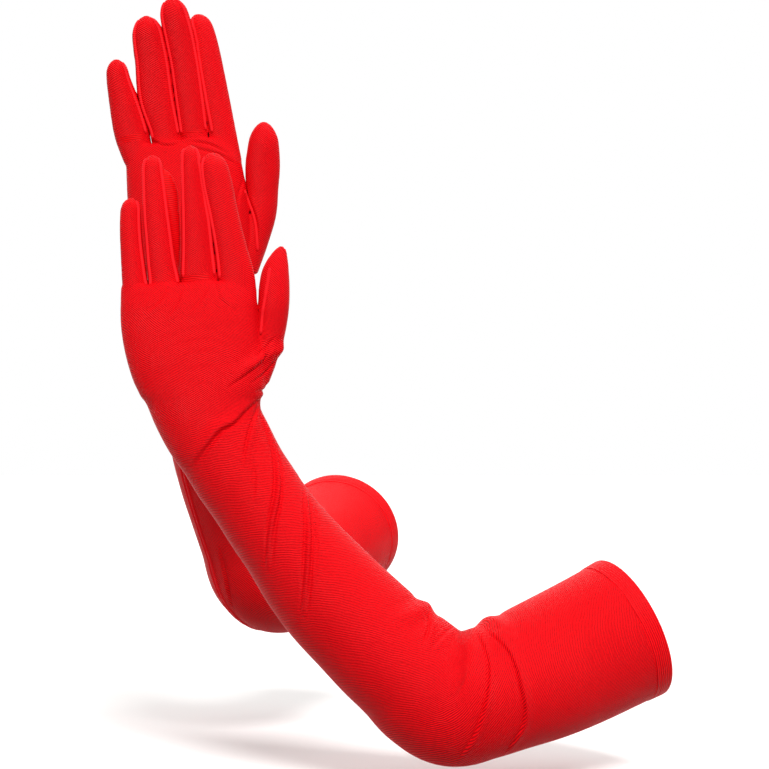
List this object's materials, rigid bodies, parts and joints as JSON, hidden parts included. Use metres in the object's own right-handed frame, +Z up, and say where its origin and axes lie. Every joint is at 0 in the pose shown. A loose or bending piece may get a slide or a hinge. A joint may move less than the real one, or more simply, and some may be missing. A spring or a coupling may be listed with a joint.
{
  "type": "opera gloves",
  "caption": "Long stretch satin gloves held up as two raised arms, with sewn panels, finger gussets and turned cuff hems, bending at elbow, wrist, fingers and thumb.",
  "frame": {"origin": "middle of the left cuff's mouth, where the wearer's arm goes in", "axes": "+Z up along the raised hands, +X towards the left cuff from the elbows, -Y to the front, where the back of the left hand faces"},
  "size_m": [0.3916, 0.3774, 0.5219],
  "materials": {
    "satin": "red stretch satin knit, soft sheen, fine cross ribs",
    "gusset_satin": "red stretch satin knit strip with raised seam",
    "hem_satin": "red stretch satin knit turned up and stitched"
  },
  "bodies": {
    "upper_sleeves": {"left_cuff_hem": "hem_satin", "left_upper_sleeve_outer": "satin", "left_upper_sleeve_inner": "satin", "right_cuff_hem": "hem_satin", "right_upper_sleeve_outer": "satin", "right_upper_sleeve_inner": "satin"},
    "left_forearm": {"left_elbow_sleeve": "satin", "left_forearm_sleeve_outer": "satin", "left_forearm_sleeve_inner": "satin"},
    "left_hand": {"left_wrist_sleeve": "satin", "left_hand_back": "satin", "left_hand_palm": "satin"},
    "left_little_finger": {"left_little_back": "satin", "left_little_palm": "satin", "left_little_fourchette_thumbward": "gusset_satin"},
    "left_ring_finger": {"left_ring_back": "satin", "left_ring_palm": "satin", "left_ring_fourchette_outward": "gusset_satin", "left_ring_fourchette_thumbward": "gusset_satin"},
    "left_middle_finger": {"left_middle_back": "satin", "left_middle_palm": "satin", "left_middle_fourchette_outward": "gusset_satin", "left_middle_fourchette_thumbward": "gusset_satin"},
    "left_index_finger": {"left_index_back": "satin", "left_index_palm": "satin", "left_index_fourchette_outward": "gusset_satin"},
    "left_thumb_tip": {"left_thumb": "satin"},
    "right_forearm": {"right_elbow_sleeve": "satin", "right_forearm_sleeve_outer": "satin", "right_forearm_sleeve_inner": "satin"},
    "right_hand": {"right_wrist_sleeve": "satin", "right_hand_back": "satin", "right_hand_palm": "satin"},
    "right_little_finger": {"right_little_back": "satin", "right_little_palm": "satin", "right_little_fourchette_thumbward": "gusset_satin"},
    "right_ring_finger": {"right_ring_back": "satin", "right_ring_palm": "satin", "right_ring_fourchette_outward": "gusset_satin", "right_ring_fourchette_thumbward": "gusset_satin"},
    "right_middle_finger": {"right_middle_back": "satin", "right_middle_palm": "satin", "right_middle_fourchette_outward": "gusset_satin", "right_middle_fourchette_thumbward": "gusset_satin"},
    "right_index_finger": {"right_index_back": "satin", "right_index_palm": "satin", "right_index_fourchette_outward": "gusset_satin"},
    "right_thumb_tip": {"right_thumb": "satin"}
  },
  "joints": [
    {"name": "left_elbow", "type": "hinge", "parent": "upper_sleeves", "child": "left_forearm", "pos_m": [-0.12066, -0.03775, -0.02401], "axis": [-0.2439, 0.9154, -0.3202], "range_deg": [-54, 60], "deforming": ["left_elbow_sleeve"]},
    {"name": "left_wrist", "type": "hinge", "parent": "left_forearm", "child": "left_hand", "pos_m": [-0.28474, -0.04493, 0.14847], "axis": [0.9506, 0, 0.3105], "range_deg": [-20, 50], "deforming": ["left_wrist_sleeve"]},
    {"name": "left_little_bend", "type": "hinge", "parent": "left_hand", "child": "left_little_finger", "pos_m": [-0.33199, -0.03693, 0.23775], "axis": [-0.998, 0, -0.0628], "range_deg": [0, 80]},
    {"name": "left_ring_bend", "type": "hinge", "parent": "left_hand", "child": "left_ring_finger", "pos_m": [-0.31192, -0.03643, 0.24058], "axis": [-0.9943, 0, -0.1063], "range_deg": [0, 80]},
    {"name": "left_middle_bend", "type": "hinge", "parent": "left_hand", "child": "left_middle_finger", "pos_m": [-0.28945, -0.03618, 0.24374], "axis": [-0.9957, 0, -0.0924], "range_deg": [0, 80]},
    {"name": "left_index_bend", "type": "hinge", "parent": "left_hand", "child": "left_index_finger", "pos_m": [-0.26594, -0.03643, 0.24704], "axis": [-0.9893, 0, -0.1461], "range_deg": [0, 80]},
    {"name": "left_thumb_bend", "type": "hinge", "parent": "left_hand", "child": "left_thumb_tip", "pos_m": [-0.24009, -0.03543, 0.2224], "axis": [-0.9877, 0, 0.1564], "range_deg": [0, 45]},
    {"name": "right_elbow", "type": "hinge", "parent": "upper_sleeves", "child": "right_forearm", "pos_m": [-0.25284, 0.15546, 0.03858], "axis": [-0.8804, 0.4268, -0.2068], "range_deg": [-17, 38], "deforming": ["right_elbow_sleeve"]},
    {"name": "right_wrist", "type": "hinge", "parent": "right_forearm", "child": "right_hand", "pos_m": [-0.301, 0.0699, 0.25524], "axis": [-0.995, 0, -0.1003], "range_deg": [-20, 50], "deforming": ["right_wrist_sleeve"]},
    {"name": "right_little_bend", "type": "hinge", "parent": "right_hand", "child": "right_little_finger", "pos_m": [-0.35135, 0.0619, 0.34295], "axis": [0.9799, 0, 0.1994], "range_deg": [0, 80]},
    {"name": "right_ring_bend", "type": "hinge", "parent": "right_hand", "child": "right_ring_finger", "pos_m": [-0.33112, 0.0614, 0.34645], "axis": [0.988, 0, 0.1547], "range_deg": [0, 80]},
    {"name": "right_middle_bend", "type": "hinge", "parent": "right_hand", "child": "right_middle_finger", "pos_m": [-0.30884, 0.06115, 0.3503], "axis": [0.9854, 0, 0.1702], "range_deg": [0, 80]},
    {"name": "right_index_bend", "type": "hinge", "parent": "right_hand", "child": "right_index_finger", "pos_m": [-0.28526, 0.0614, 0.35437], "axis": [0.9871, 0, 0.1599], "range_deg": [0, 80]},
    {"name": "right_thumb_bend", "type": "hinge", "parent": "right_hand", "child": "right_thumb_tip", "pos_m": [-0.25664, 0.0604, 0.31568], "axis": [0.9925, 0, -0.1219], "range_deg": [0, 45]}
  ]
}
